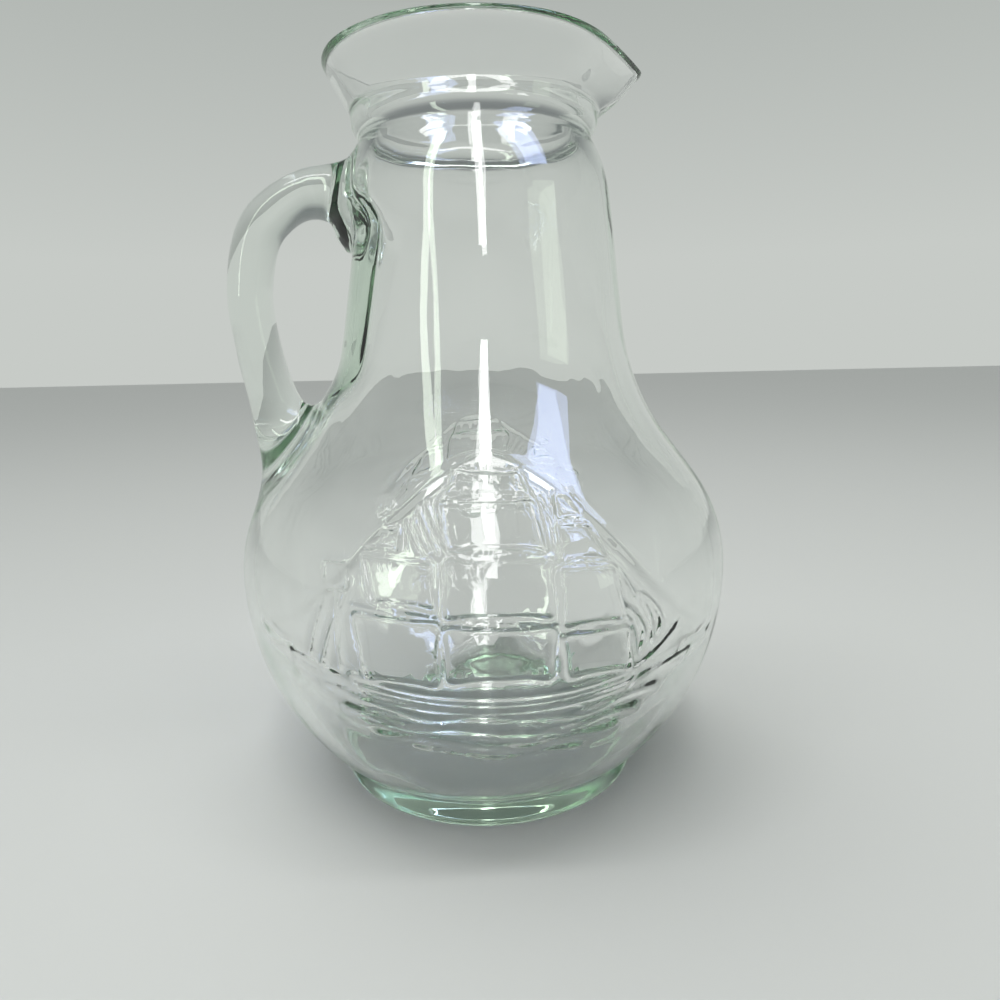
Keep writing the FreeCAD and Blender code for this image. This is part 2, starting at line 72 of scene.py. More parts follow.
def wall_radius(height, inset=0.0):
    """Radius of the turned outline at a height, or of the inside of the wall when inset."""
    lower, upper = lower_arc - inset, upper_arc - inset
    waist, crown = neck_arc + inset, crown_arc - inset
    bulb, neck = bulb_radius - inset, neck_radius - inset
    slope, neck_slope = math.tan(shoulder_lean), math.tan(neck_lean)
    edge_x = bulb - upper + upper * math.cos(shoulder_lean)
    edge_z = bulb_height + upper * math.sin(shoulder_lean)
    corner_z = (edge_x - neck + slope * edge_z - neck_slope * neck_height) / (slope - neck_slope)
    corner_x = edge_x - slope * (corner_z - edge_z)
    reach = waist * math.tan((shoulder_lean - neck_lean) / 2)
    low_x, low_z = corner_x + reach * math.sin(shoulder_lean), corner_z - reach * math.cos(shoulder_lean)
    high_z = corner_z + reach * math.cos(neck_lean)
    waist_x, waist_z = low_x + waist * math.cos(shoulder_lean), low_z + waist * math.sin(shoulder_lean)
    crown_x, crown_z = neck - crown * math.cos(neck_lean), neck_height - crown * math.sin(neck_lean)
    z = np.asarray(height, float)

    def arch(radius, centre):
        return np.sqrt(np.maximum(radius ** 2 - (z - centre) ** 2, 0))

    return np.select(
        [z < bulb_height, z < edge_z, z < low_z, z < high_z, z < neck_height],
        [bulb - lower + arch(lower, bulb_height), bulb - upper + arch(upper, bulb_height),
         edge_x - slope * (z - edge_z), waist_x - arch(waist, waist_z),
         neck + (neck_height - z) * neck_slope],
        crown_x + arch(crown, crown_z))


def body_radius(angle, height, inset=0.0, flat_inset=0.0):
    """Distance of the body's surface from the axis, with the flat that is pressed into the handle side."""
    round_radius = wall_radius(height, inset)
    z = np.asarray(height, float)
    above = neck_radius + (neck_height - flat_top) * math.tan(neck_lean) - flat_depth - flat_inset
    below = above + (flat_top - flat_bottom) * flat_lean
    face = above + (flat_top - z) * flat_lean
    upper_end = above + (z - flat_top) * flat_run_out
    lower_end = below + (flat_bottom - z) * flat_run_out
    ends = -smooth_min(-upper_end, -lower_end, flat_corner_blend)
    flat = -smooth_min(-face, -ends, flat_end_blend)
    facing = np.maximum(-np.cos(angle), 0.02)
    return smooth_min(round_radius, flat / facing, flat_edge_blend)


# ---------------------------------------------------------------------------------------------
# The ship. The mould is cut with a sailing ship under an arched border, with waves below it, once on
# the front and once on the back. It is drawn in millimetres round the bulb and up from the table, as
# raised lines, swelling sails and a hull on a slightly sunken ground.

ground_level, full_rise = -0.8, 1.0
panel_slope = -0.038
seam_start, seam_run, seam_loss = 32, 22, 0.78
sea_low, sea_climb, sea_bend, sea_edge = 25.5, 25.0, 2.2, 9.0
corner_out, corner_edge = 65.5, 3.0
PANEL_COLUMNS = 30
PANEL_HALF = PANEL_COLUMNS * COLUMN_STEP * bulb_radius
strokes, sails = [], []


def ease(x):
    """Runs smoothly from nought to one as x does."""
    x = np.clip(x, 0, 1)
    return x * x * (3 - 2 * x)


def hermite(knots, values, at, closed=False):
    """Smooth curve through values at the knots, with slopes from the neighbours on both sides."""
    values = np.asarray(values, float)
    slopes = np.gradient(values, knots, axis=0)
    if closed:
        ends = (values[1] - values[-2]) / (knots[1] - knots[0] + knots[-1] - knots[-2])
        slopes[0] = slopes[-1] = ends
    place = np.clip(np.searchsorted(knots, at, side="right") - 1, 0, len(knots) - 2)
    span = (knots[place + 1] - knots[place])[:, None]
    part = (at - knots[place])[:, None] / span
    return ((1 + 2 * part) * (1 - part) ** 2 * values[place]
            + part * (1 - part) ** 2 * span * slopes[place]
            + part ** 2 * (3 - 2 * part) * values[place + 1]
            - part ** 2 * (1 - part) * span * slopes[place + 1])


def smooth_path(points, closed, step=0.7):
    """Points at even steps along a smooth curve through the given ones."""
    given = np.array(points, float)
    if closed:
        given = np.vstack([given, given[:1]])
    if len(given) == 2:
        steps = max(2, int(np.linalg.norm(given[1] - given[0]) / step) + 1)
        return given[0] + (given[1] - given[0]) * np.linspace(0, 1, steps)[:, None]
    knots = np.concatenate([[0], np.cumsum(np.linalg.norm(np.diff(given, axis=0), axis=1))])
    return hermite(knots, given, np.linspace(0, knots[-1], int(knots[-1] / step) + 2), closed)


def stroke(points, half_width, rise, closed=False):
    """A raised line through the points, round in section."""
    strokes.append((smooth_path(points, closed), half_width, rise))


def bowed(start, end, bow):
    """Five points along an edge of a sail that is bowed upwards in the middle."""
    return [start + (end - start) * t + (0, bow * t * (1 - t)) for t in np.linspace(0, 1, 5)]


def sail(low_left, low_right, top_left, top_right, swell=0.6, hem=1.1, bow=0.5):
    """A square sail: a swelling field with a raised hem; bow is how far its foot curves up."""
    corners = [np.array(c, float) for c in (low_left, low_right, top_right, top_left)]
    foot = bowed(corners[0], corners[1], 4 * bow)
    head = bowed(corners[2], corners[3], 1.2 * bow)
    left = (corners[3] + corners[0]) / 2 - (0.35 * bow, 0)
    right = (corners[2] + corners[1]) / 2 + (0.35 * bow, 0)
    hem_rise = 0.8 + 0.25 * float(ease((corners[0][1] - 70) / 8))
    stroke(foot + [right] + head + [left], hem, hem_rise, closed=True)
    sails.append((corners, swell))


# arched border, which turns back along the sea at both corners
border_arch = [(0, 96.2), (8, 94.9), (15.5, 91.4), (23.0, 85.8), (30.5, 78.4), (38.5, 69.6), (50, 61.0),
               (60, 56.4), (65.0, 53.4)]
border_half = border_arch + [(62.5, 51.2), (53, 50.2)]
stroke([(-s, z) for s, z in reversed(border_half)] + border_half[1:], 2.8, 1.02)
for side in (-1, 1):
    stroke([(side * 55, 50.4), (side * 46, 49.2), (side * 38, 47.4), (side * 33, 45.4)], 1.2, 0.5)

# middle mast, fore mast on the right and the two after masts on the left
sail((-12.4, 88.1), (9.4, 88.6), (-10.4, 93.2), (8.0, 92.9), 0.4, 1.0, 0.3)
sail((-10.6, 78.4), (11.4, 78.4), (-13.5, 87.1), (10.4, 87.8))
sail((-11.2, 64.4), (12.0, 64.7), (-10.8, 76.0), (11.4, 76.2))
sail((-10.8, 50.2), (11.6, 51.0), (-11.0, 61.8), (12.0, 61.9))
sail((15.6, 84.4), (21.6, 84.4), (16.4, 88.8), (19.4, 88.7), 0.3, 0.85, 0.2)
sail((14.6, 75.9), (25.8, 75.8), (15.4, 83.0), (22.6, 82.8), 0.35, 0.95)
sail((14.2, 62.2), (28.4, 62.4), (14.4, 74.1), (26.8, 74.2))
sail((15.8, 50.8), (31.2, 50.6), (14.3, 60.1), (29.6, 60.3))
sail((-30.0, 77.1), (-22.4, 77.3), (-30.6, 81.0), (-22.8, 81.2), 0.3, 0.85, 0.3)
sail((-27.4, 66.4), (-13.2, 66.1), (-30.8, 75.4), (-14.4, 75.3))
sail((-29.8, 48.8), (-13.4, 48.9), (-31.4, 63.2), (-12.6, 62.9))
sail((-39.4, 67.6), (-34.2, 68.0), (-40.6, 73.5), (-34.6, 73.9), 0.3, 0.85, 0.2)
stroke([(-26.3, 77.4), (-26.5, 81.0)], 0.8, 0.5)

# jibs between the fore mast and the bowsprit, each a narrow crescent
for foot_s, foot_z, lift in ((32.8, 53.0, 12.4), (38.0, 55.2, 12.0)):
    crescent = [(foot_s, foot_z), (foot_s - 1.6, foot_z + 0.5 * lift), (foot_s - 4.4, foot_z + lift),
                (foot_s - 0.2, foot_z + 0.72 * lift), (foot_s + 1.9, foot_z + 0.4 * lift)]
    stroke(crescent, 1.0, 0.5, closed=True)
stroke([(31.0, 48.6), (38.5, 52.6), (45.0, 57.0)], 1.0, 0.45)

# masts in the gaps, yards across them, the pennant, and the stays
for mast, foot, head in ((-0.4, 61.8, 64.6), (-0.4, 76.2, 78.4), (21.4, 60.4, 62.4), (21.0, 74.2, 76.0),
                         (19.0, 82.8, 84.4), (-21.4, 63.2, 66.4), (-22.8, 75.4, 77.2), (-36.8, 49.4, 67.6)):
    stroke([(mast, foot), (mast, head)], 1.0, 0.45)
stroke([(-32.6, 64.7), (-12.2, 64.1), (-3.7, 63.6), (12.8, 62.7), (27.3, 61.3), (31.0, 61.6)], 0.9, 0.45)
stroke([(-32.0, 76.6), (-14.0, 76.4), (0.5, 77.1), (13.0, 76.9), (27.6, 75.0)], 0.8, 0.4)
stroke([(-29.0, 84.2), (-27.4, 85.3), (-24.9, 84.6), (-24.2, 83.4), (-26.6, 83.6)], 0.8, 0.55, closed=True)
for start, end in (((-18.6, 85.3), (-12.8, 77.0)), ((-16.8, 86.4), (-12.0, 79.4)),
                   ((-20.9, 82.7), (-16.4, 76.6)), ((-19.4, 83.2), (-14.6, 76.9)),
                   ((-34.4, 66.8), (-43.0, 47.6)), ((-40.0, 66.6), (-45.6, 51.0)),
                   ((22.6, 84.6), (28.6, 77.6)), ((12.0, 88.2), (14.8, 83.6)),
                   ((28.2, 74.0), (32.2, 67.0)), ((20.4, 89.2), (33.0, 74.2))):
    stroke([start, end], 0.75, 0.48)

# reef marks, a gathered fold and the wrinkles of the after sail
stroke([(-8.6, 81.0), (-7.7, 81.6), (-7.8, 83.8), (-8.8, 83.4)], 0.7, 0.45, closed=True)
for mark in (-3.6, -1.8):
    stroke([(mark, 83.9), (mark + 0.8, 82.6), (mark + 1.6, 81.7)], 0.7, 0.45)
stroke([(-2.2, 78.0), (-4.4, 76.4), (-4.7, 73.6), (-3.4, 71.6), (-2.6, 74.4), (-1.2, 76.6)], 0.8, 0.5)
stroke([(-10.4, 75.4), (-9.4, 73.4), (-8.2, 70.8)], 0.75, 0.45)
stroke([(-26.8, 74.2), (-24.6, 72.0), (-21.6, 70.9)], 0.75, 0.45)
stroke([(-17.6, 70.8), (-16.6, 72.2), (-15.0, 72.2), (-14.4, 71.0)], 0.75, 0.5)
stroke([(22.8, 58.2), (24.2, 56.2)], 0.6, 0.28)

# hull: sheer line, two strakes and the waterline, closed by the stern and the bow
stroke([(-34.0, 48.8), (-20, 46.9), (0, 46.6), (18, 47.6), (34.0, 50.2)], 1.3, 0.55)
stroke([(-30.5, 43.6), (-10, 42.6), (10, 43.2), (30.2, 45.6)], 1.2, 0.45)
stroke([(-34.0, 48.8), (-33.2, 46.0), (-30.5, 43.6)], 1.1, 0.45)
stroke([(34.0, 50.2), (32.8, 47.6), (30.2, 45.6)], 1.1, 0.45)
stroke([(-32.2, 46.2), (-12, 44.7), (12, 45.2), (31.6, 48.0)], 0.8, 0.3)

# sea: long wavy ridges, each with its own phase, shorter towards the bottom, and crests between them;
# the hull parts the highest ridge
bow_wave_rise, ridge_half_width = 0.0016, 1.9
for level, begin, end, phase, rise in ((44.6, -49, -34, 0.3, 0.4), (44.6, 34, 49, 0.3, 0.4),
                                       (40.8, -43, 43, 1.7, 0.45), (37.0, -37, 37, 2.6, 0.45),
                                       (33.2, -30, 30, 4.1, 0.42), (29.9, -21, 21, 5.3, 0.28)):
    run = np.arange(begin, end + 0.1, 3.0)
    sway = 0.75 * np.sin(run / 5.6 + phase) + 0.35 * np.sin(run / 2.9 + 2.1 * phase)
    lift = bow_wave_rise * run ** 2
    stroke(np.stack([run, level + sway + lift], 1), ridge_half_width, rise)
    if begin < 0 < end:
        for crest in np.arange(begin + 9, end - 8, 17.0):
            tip = level + ridge_half_width + bow_wave_rise * crest ** 2
            stroke([(crest - 4.2, tip - 0.3), (crest, tip + 0.35), (crest + 3.6, tip - 0.25)], 0.9, 0.25)


def border_height(s):
    edge = np.array(border_arch)
    return np.interp(np.abs(s), edge[:, 0], edge[:, 1])


def sea_floor(s):
    """Lower edge of the sunken ground: a shallow curve that rises to the border's corners."""
    return sea_low + sea_climb * (np.abs(s) / 65.0) ** sea_bend


def relief(s, z):
    """Height of the cut pattern over the plain outline, at s along the bulb and z above the table."""
    z = z - panel_slope * s
    under_border = ease((border_height(s) - z + 1.0) / 2.0)
    over_sea_floor = ease((z - sea_floor(s)) / sea_edge)
    inside = under_border * over_sea_floor * ease((corner_out - np.abs(s)) / corner_edge)
    # the pattern grows shallow towards the mould's seams, so that the mould can open
    seam = 1 - seam_loss * ease((np.abs(s) - seam_start) / seam_run)
    ground = ground_level * inside * seam
    height = ground.copy()
    points = np.stack([s, z], 1)
    for corners, swell in sails:
        low, high = corners[0][1], corners[3][1]
        up = (z - low) / (high - low)
        left = corners[0][0] + (corners[3][0] - corners[0][0]) * up
        right = corners[1][0] + (corners[2][0] - corners[1][0]) * up
        across = (s - left) / (right - left)
        within = (up > 0) & (up < 1) & (across > 0) & (across < 1)
        belly = np.sqrt(np.clip(4 * across * (1 - across), 0, 1))
        belly *= np.clip(4 * up * (1 - up), 0, 1) ** 0.45
        height = np.where(within, np.maximum(height, ground + swell * belly * (1.1 - 0.35 * up)), height)
    for path, half_width, rise in strokes:
        box_low, box_high = path.min(0) - half_width, path.max(0) + half_width
        near = np.where(((points > box_low) & (points < box_high)).all(1))[0]
        if not len(near):
            continue
        start, run = path[:-1], np.diff(path, axis=0)
        offset = points[near, None] - start[None]
        along = np.clip((offset * run).sum(2) / (run ** 2).sum(1), 0, 1)
        away = np.linalg.norm(offset - along[..., None] * run, axis=2).min(1)
        bump = rise * seam[near] * (1 - np.clip(away / half_width, 0, 1) ** 2) ** 2
        # the border and the top sails' hems are cut from the full depth on both of their sides
        base = ground_level * seam[near] if rise > full_rise else ground[near]
        height[near] = np.maximum(height[near], np.where(bump > 0, base + bump, height[near]))
    return height


def panel_points(low, high):
    """Points for the panel's mesh: rows along every raised line, and a lattice for what lies between."""
    margin, fine, pitch = 0.9, 0.42, 1.55
    courses = []
    for path, half_width, _ in strokes:
        course = np.gradient(path, axis=0)
        course /= np.linalg.norm(course, axis=1)[:, None]
        aside = np.stack([-course[:, 1], course[:, 0]], 1)
        for share in (0, 0.36, -0.36, 0.7, -0.7, 1.0, -1.0):
            courses.append(path + aside * share * half_width)
    dense = np.vstack(courses)
    dense[:, 1] += panel_slope * dense[:, 0]
    grid_s, grid_z = np.meshgrid(np.arange(-PANEL_HALF, PANEL_HALF, pitch),
                                 np.arange(low, high, pitch * 0.87))
    grid_s[1::2] += pitch / 2
    lattice = np.stack([grid_s.ravel(), grid_z.ravel()], 1)

    def on_panel(s, z):
        return abs(s) <= PANEL_HALF - margin and low + margin < z < high - margin

    kept, taken = [], set()
    for s, z in dense:
        cell = (int(s // fine), int(z // fine))
        if on_panel(s, z) and cell not in taken:
            taken.add(cell)
            kept.append((s, z))
    near = range(-2, 3)
    for s, z in lattice:
        crowded = any((int(s / fine + i), int(z / fine + j)) in taken for i in near for j in near)
        if on_panel(s, z) and not crowded:
            kept.append((s, z))
    return np.array(kept)


# ---------------------------------------------------------------------------------------------
# Rows of the glass from the push-up under the foot, up the outside, over the fire-polished rim and
# down the inside to the floor. The mouth is flared from the collar and drawn out into the lip, which
# bellies a little where the tool pulled it.

collar_radius, collar_top = 31.8, 177.8
rim_radius, rim_height, rim_wall, rim_round = 38.7, 190.0, 2.9, 1.9
mouth_start, throat_bore = 175.5, 26.2
lip_reach, lip_round, lip_drop, lip_drop_start, lip_belly = 46.8, 4.0, 2.0, 12.0, 1.3
brim_short = 1.25
RIM_ROWS = 7
angles = np.arange(COLUMNS) * COLUMN_STEP
signed = np.where(angles > math.pi, angles - 2 * math.pi, angles)


def ring(radius, height):
    """One row of the mesh, at a radius that may change round the axis."""
    radius = np.broadcast_to(radius, (COLUMNS,))
    height = np.broadcast_to(height, (COLUMNS,))
    return np.stack([radius * np.cos(angles), radius * np.sin(angles), height], 1)


def rim_outline(inset):
    """Rim from above: round at the back, two straight sides that run tangent into the nose of the lip."""
    back, nose = rim_radius - inset, lip_round - inset / 2
    centre = lip_reach - inset - nose
    turn = math.acos((back - nose) / centre)
    narrow = math.asin(0.2)
    size = np.abs(signed)
    nose_turn = size / narrow * turn
    side_part = ((size - narrow) / (turn - narrow))[:, None]
    tip = np.array([centre + nose * math.cos(turn), nose * math.sin(turn)])
    side = np.array([back * math.cos(turn), back * math.sin(turn)])
    round_back = np.stack([back * np.cos(size), back * np.sin(size)], 1)
    round_nose = np.stack([centre + nose * np.cos(nose_turn), nose * np.sin(nose_turn)], 1)
    outline = np.where(size[:, None] < narrow, round_nose,
                       np.where(size[:, None] < turn, tip + (side - tip) * side_part, round_back))
    outline[:, 1] *= np.sign(signed)
    return outline


def mouth_wall(root_radius, root_height, inset, parts, belly=0.0):
    """Rows up the flared wall, ending a little short of the dipping rim, with a belly under the lip."""
    root, rim = ring(root_radius, root_height), np.zeros((COLUMNS, 3))
    rim[:, :2], rim[:, 2] = rim_outline(inset), rim_height
    bend = ((lip_reach - lip_drop_start) ** 2 + lip_drop ** 2) / (2 * lip_drop)
    end = np.ones(COLUMNS)
    for _ in range(8):
        past = np.maximum(root[:, 0] + end * (rim[:, 0] - root[:, 0]) - lip_drop_start, 0)
        brim = rim_height - (bend - np.sqrt(bend ** 2 - past ** 2)) - brim_short
        end = (brim - root_height) / (rim_height - root_height)
    outward = np.stack([np.cos(angles), np.sin(angles), 0 * angles], 1)
    full = ease((np.cos(angles) - 0.55) / 0.4)[:, None] * outward
    return [root + (rim - root) * (end * part)[:, None] + belly * math.sin(math.pi * part ** 0.7) * full
            for part in parts]


def rounded_rim(outer_below, outer, inner, inner_below):
    """Rows over the rim, from the outer wall's top row to the inner one, round in section."""
    up_out = (outer - outer_below) / np.linalg.norm(outer - outer_below, axis=1)[:, None] * rim_round
    up_in = (inner - inner_below) / np.linalg.norm(inner - inner_below, axis=1)[:, None] * rim_round
    return [(1 - t) ** 3 * outer + 3 * t * (1 - t) ** 2 * (outer + up_out)
            + 3 * t * t * (1 - t) * (inner + up_in) + t ** 3 * inner
            for t in np.linspace(0, 1, RIM_ROWS + 2)[1:-1]]


# push-up, standing ring, heel and foot, with the ledge where the bulb springs from the foot
pushup_radius = foot_radius - stand_width
under_rows = [ring(r, pushup_depth * (1 - (r / pushup_radius) ** 2))
              for r in (5, 11, 17, 22, 26.5, 30, 33, 35.2)]
under_rows += [ring(pushup_radius, 0.14), ring(pushup_radius + 1.0, 0.0),
               ring(foot_radius - heel_round - 0.6, 0.0)]
heel_rows = [ring(foot_radius - heel_round + heel_round * math.sin(a), heel_round * (1 - math.cos(a)))
             for a in np.radians([12, 34, 56, 75, 90])]
foot_top = foot_radius + foot_flare
foot_rows = [ring(foot_radius + foot_flare * (z / foot_height), z) for z in (3.4, 4.9, 6.4, 7.3)]
ledge = wall_radius(foot_height)
foot_rows += [ring(foot_top - 0.02, 7.75), ring(foot_top + 0.2, 7.95), ring(ledge - 0.35, 8.0),
              ring(ledge - 0.08, 8.08), ring(wall_radius(8.45), 8.45), ring(wall_radius(9.1), 9.1)]

# bulb, shoulder and neck, with closer rows where the panels and the handle join
PANEL_LOW, PANEL_HIGH = 24.0, 102.0
TAIL_LOW, TAIL_HIGH, ROOT_LOW, ROOT_HIGH = 76.0, 115.0, 141.0, 171.0
levels = np.concatenate([
    np.linspace(9.1, PANEL_LOW, 9)[1:], np.linspace(PANEL_LOW, TAIL_LOW, 27)[1:],
    np.linspace(TAIL_LOW, TAIL_HIGH, 31)[1:], np.linspace(TAIL_HIGH, ROOT_LOW, 14)[1:],
    np.linspace(ROOT_LOW, ROOT_HIGH, 21)[1:]])


def ripple(z):
    """The slow unevenness that blowing leaves on the inside, up to two tenths of a millimetre."""
    swirl = (np.sin(3 * angles + z / 9.0) * np.sin(z / 13.0 + 0.7)
             + 0.7 * np.sin(7 * angles - z / 15.0 + 1.9))
    streak = 0.5 * np.sin(13 * angles + 0.9 * np.sin(z / 21.0)) + 0.35 * np.sin(22 * angles + z / 31.0)
    return 0.085 * (swirl + streak) * ease((168 - z) / 12)


def mould_wave(z):
    """The neck's slight unevenness outside, a few hundredths of a millimetre, away from the handle."""
    wave = (np.sin(5 * angles + z / 7.0) * np.sin(z / 10.0) + 0.8 * np.sin(11 * angles - z / 9.0 + 0.6)
            + 0.6 * np.sin(17 * angles + z / 6.0 + 2.2))
    return 0.022 * wave * ease((np.cos(angles) + 0.75) / 0.4) * ease((z - 103) / 6) * ease((168 - z) / 8)


body_rows = [ring(body_radius(angles, z) + mould_wave(z), z) for z in levels]

# collar, whose edges the fire has softened, the flared mouth and the rim
collar_rows = [ring(r, z) for r, z in ((29.95, 171.5), (30.2, 171.95), (30.6, 172.5), (31.05, 173.15),
                                       (31.42, 173.8), (31.66, 174.5), (31.78, 175.3), (31.8, 176.2),
                                       (31.83, 177.0), (31.93, 177.7))]
outer_parts = (0.04, 0.12, 0.25, 0.4, 0.55, 0.7, 0.85, 1.0)
inner_parts = (1.0, 0.86, 0.72, 0.58, 0.44, 0.3, 0.16, 0.05)
mouth_rows = mouth_wall(collar_radius, collar_top, 0.0, outer_parts, lip_belly)
inner_rows = mouth_wall(throat_bore, mouth_start, rim_wall, inner_parts)
rim_rows = rounded_rim(mouth_rows[-2], mouth_rows[-1], inner_rows[0], inner_rows[1])

# inside: throat, neck and bulb, then the fillet that runs out on the thick floor
inner_lower = lower_arc - wall
fillet_z = floor_height + floor_round
fillet_reach = math.sqrt((inner_lower - floor_round) ** 2 - (bulb_height - fillet_z) ** 2)
fillet_x = bulb_radius - lower_arc + fillet_reach
touch = math.atan2(bulb_height - fillet_z, fillet_x - (bulb_radius - lower_arc))
touch_z = fillet_z - floor_round * math.sin(touch)
inside_levels = np.concatenate([np.linspace(mouth_start - 0.4, 160, 11), np.linspace(160, 100, 31)[1:],
                                np.linspace(100, touch_z, 40)[1:]])
for z in inside_levels:
    narrowest = throat_bore * ease((z - 156) / 10)
    bore = -smooth_min(-body_radius(angles, z, wall, flat_wall), -narrowest, 1.5)
    inner_rows.append(ring(bore + ripple(z), z))
for a in np.linspace(touch, math.pi / 2, 7)[1:]:
    inner_rows.append(ring(fillet_x + floor_round * math.cos(a), fillet_z - floor_round * math.sin(a)))
inner_rows += [ring(r, floor_height) for r in (33, 28, 22, 16, 10, 5)]

first_body_row = len(under_rows) + len(heel_rows) + len(foot_rows)
rows = np.array(under_rows + heel_rows + foot_rows + body_rows + collar_rows + mouth_rows + rim_rows
                + inner_rows)
grid_points = rows.reshape(-1, 3)
index = np.arange(len(grid_points)).reshape(len(rows), COLUMNS)
cell_used = np.ones((len(rows) - 1, COLUMNS), bool)
vertices, triangles, quads = [grid_points], [], []


def row_at(level):
    return first_body_row + int(np.argmin(np.abs(levels - level)))


def block_loop(low_row, high_row, first, last):
    """Indices round a block of the grid, from the middle of its top, towards the last column first."""
    middle = (first + last) // 2
    top = [index[high_row, c % COLUMNS] for c in range(middle, last)]
    far = [index[r, last % COLUMNS] for r in range(high_row, low_row, -1)]
    bottom = [index[low_row, c % COLUMNS] for c in range(last, first, -1)]
    near = [index[r, first % COLUMNS] for r in range(low_row, high_row)]
    rest = [index[high_row, c % COLUMNS] for c in range(first, middle)]
    return top + far + bottom + near + rest


def clear_block(low_row, high_row, first, last):
    """Leaves a block of the grid open, for a finer piece of mesh to fill."""
    for column in range(first, last):
        cell_used[low_row:high_row, column % COLUMNS] = False


# the two cut panels take the place of plain grid; the one behind is shallower
front_depth, back_depth = 1.0, 0.62
low_row, high_row = row_at(PANEL_LOW), row_at(PANEL_HIGH)
inner_points = panel_points(PANEL_LOW, PANEL_HIGH)
cut = relief(inner_points[:, 0], inner_points[:, 1])
for facing, depth in ((-math.pi / 2, front_depth), (math.pi / 2, back_depth)):
    centre = int(round(facing / COLUMN_STEP))
    first, last = centre - PANEL_COLUMNS, centre + PANEL_COLUMNS
    clear_block(low_row, high_row, first, last)
    loop = block_loop(low_row, high_row, first, last)
    side_rows = high_row - low_row
    edge_columns = np.array([*range(centre, last), *[last] * side_rows, *range(last, first, -1),
                             *[first] * side_rows, *range(first, centre)])
    edge = np.stack([(edge_columns - centre) * COLUMN_STEP * bulb_radius, grid_points[loop, 2]], 1)
    flat_points = np.vstack([edge, inner_points])
    faces = geometry.delaunay_2d_cdt([Vector(p) for p in flat_points], [], [], 0, 1e-7)[2]
    turn = facing + inner_points[:, 0] / bulb_radius
    radius = wall_radius(inner_points[:, 1]) + depth * cut
    start = sum(len(v) for v in vertices)
    vertices.append(np.stack([radius * np.cos(turn), radius * np.sin(turn), inner_points[:, 1]], 1))
    number = np.concatenate([loop, start + np.arange(len(inner_points))])
    triangles += [tuple(int(number[i]) for i in face) for face in faces]

# ---------------------------------------------------------------------------------------------
# The ear handle is a solid rod of the same glass, pressed on to the neck under the collar while hot,
# bent round and run out on the shoulder. Its ends melt into the body with soft fillets.

neck_side, handle_out, handle_high, handle_low = 35.1, 61.0, 159.4, 84.0
shoulder_side, half_way = 59.23, (159.4 + 84.0) / 2
thick, broad = 11.8, 14.5
root_blend, tail_blend = 3.2, 9.0
stations = np.array([
    # out, height, turn, thickness, breadth
    (neck_side - 4.5, handle_high - 2.2, 0, 25.0, 25.5),
    (neck_side + 1.6, handle_high - 0.2, 0, thick * 1.33, broad * 1.2),
    (neck_side + 8.9, handle_high - 0.2, 12, thick * 1.06, broad),
    (handle_out - 5.4, handle_high - 7.2, 52, thick, broad),
    (handle_out - 0.15, half_way + 14.3, 90, thick, broad),
    (handle_out - 1.2, half_way - 2, 97, thick, broad),
    (shoulder_side - 2.4, handle_low + 22, 102, thick * 1.1, broad * 1.08),
    (shoulder_side - 4.9, handle_low + 11.6, 106, 15.2, 17.1),
    (shoulder_side - 9, handle_low, 110, 17.0, 18.5),
])
station_run = np.concatenate([[0], np.cumsum(np.linalg.norm(np.diff(stations[:, :2], axis=0), axis=1))])
RING_SIZE, ROD_RINGS, JOINT_RINGS = 92, 62, 14
SMOOTHING_ROUNDS, SETTLING_ROUNDS = 90, 4
around = np.arange(RING_SIZE) * 2 * math.pi / RING_SIZE


def rod(at):
    """Centre, outward direction and half sizes of the rod at distances along it."""
    out, high, turn, thickness, breadth = hermite(station_run, stations, np.atleast_1d(at)).T
    turn = np.radians(turn)
    centre = np.stack([-out, 0 * out, high], 1)
    outward = np.stack([-np.sin(turn), 0 * out, np.cos(turn)], 1)
    return centre, outward, thickness / 2, breadth / 2


rod_centre, rod_outward, rod_thick, rod_broad = rod(np.linspace(0, station_run[-1], 420))


def rod_distance(points):
    """How far points are outside the rod, from the nearest of its sections."""
    away = ((points[:, None, ::2] - rod_centre[None, :, ::2]) ** 2).sum(2)
    best = away.argmin(1)
    lift = ((points - rod_centre[best]) * rod_outward[best]).sum(1)
    size = np.sqrt((lift / rod_thick[best]) ** 2 + (points[:, 1] / rod_broad[best]) ** 2)
    steep = np.sqrt((lift / rod_thick[best] ** 2) ** 2 + (points[:, 1] / rod_broad[best] ** 2) ** 2)
    return (size - 1) * size / np.maximum(steep, 1e-3)


def body_distance(points):
    """How far points are outside the body."""
    angle = np.arctan2(points[:, 1], points[:, 0])
    high = np.minimum(points[:, 2], throat_height)
    slope = (body_radius(angle, high + 0.2) - body_radius(angle, high - 0.2)) / 0.4
    return (np.hypot(points[:, 0], points[:, 1]) - body_radius(angle, high)) / np.sqrt(1 + slope ** 2)


def melted(points, blend):
    """How far points are outside rod and body together, with a fillet between the two."""
    return smooth_min(body_distance(points), rod_distance(points), blend)


def settle(points, blend):
    """Moves points to the surface where rod and body run together."""
    value = melted(points, blend)
    reach = 0.02
    gradient = np.stack([(melted(points + step, blend) - melted(points - step, blend)) / (2 * reach)
                         for step in np.eye(3) * reach], 1)
    length = np.maximum((gradient ** 2).sum(1), 0.2)
    return points - gradient * (value / length)[:, None].clip(-2, 2)


def rod_ring(at):
    """Points round the rod, from its outer side."""
    centre, outward, half_thick, half_broad = rod(at)
    across = np.array([0.0, 1.0, 0.0])
    return (centre[0] + outward[0] * (half_thick[0] * np.cos(around))[:, None]
            + across * (half_broad[0] * np.sin(around))[:, None])


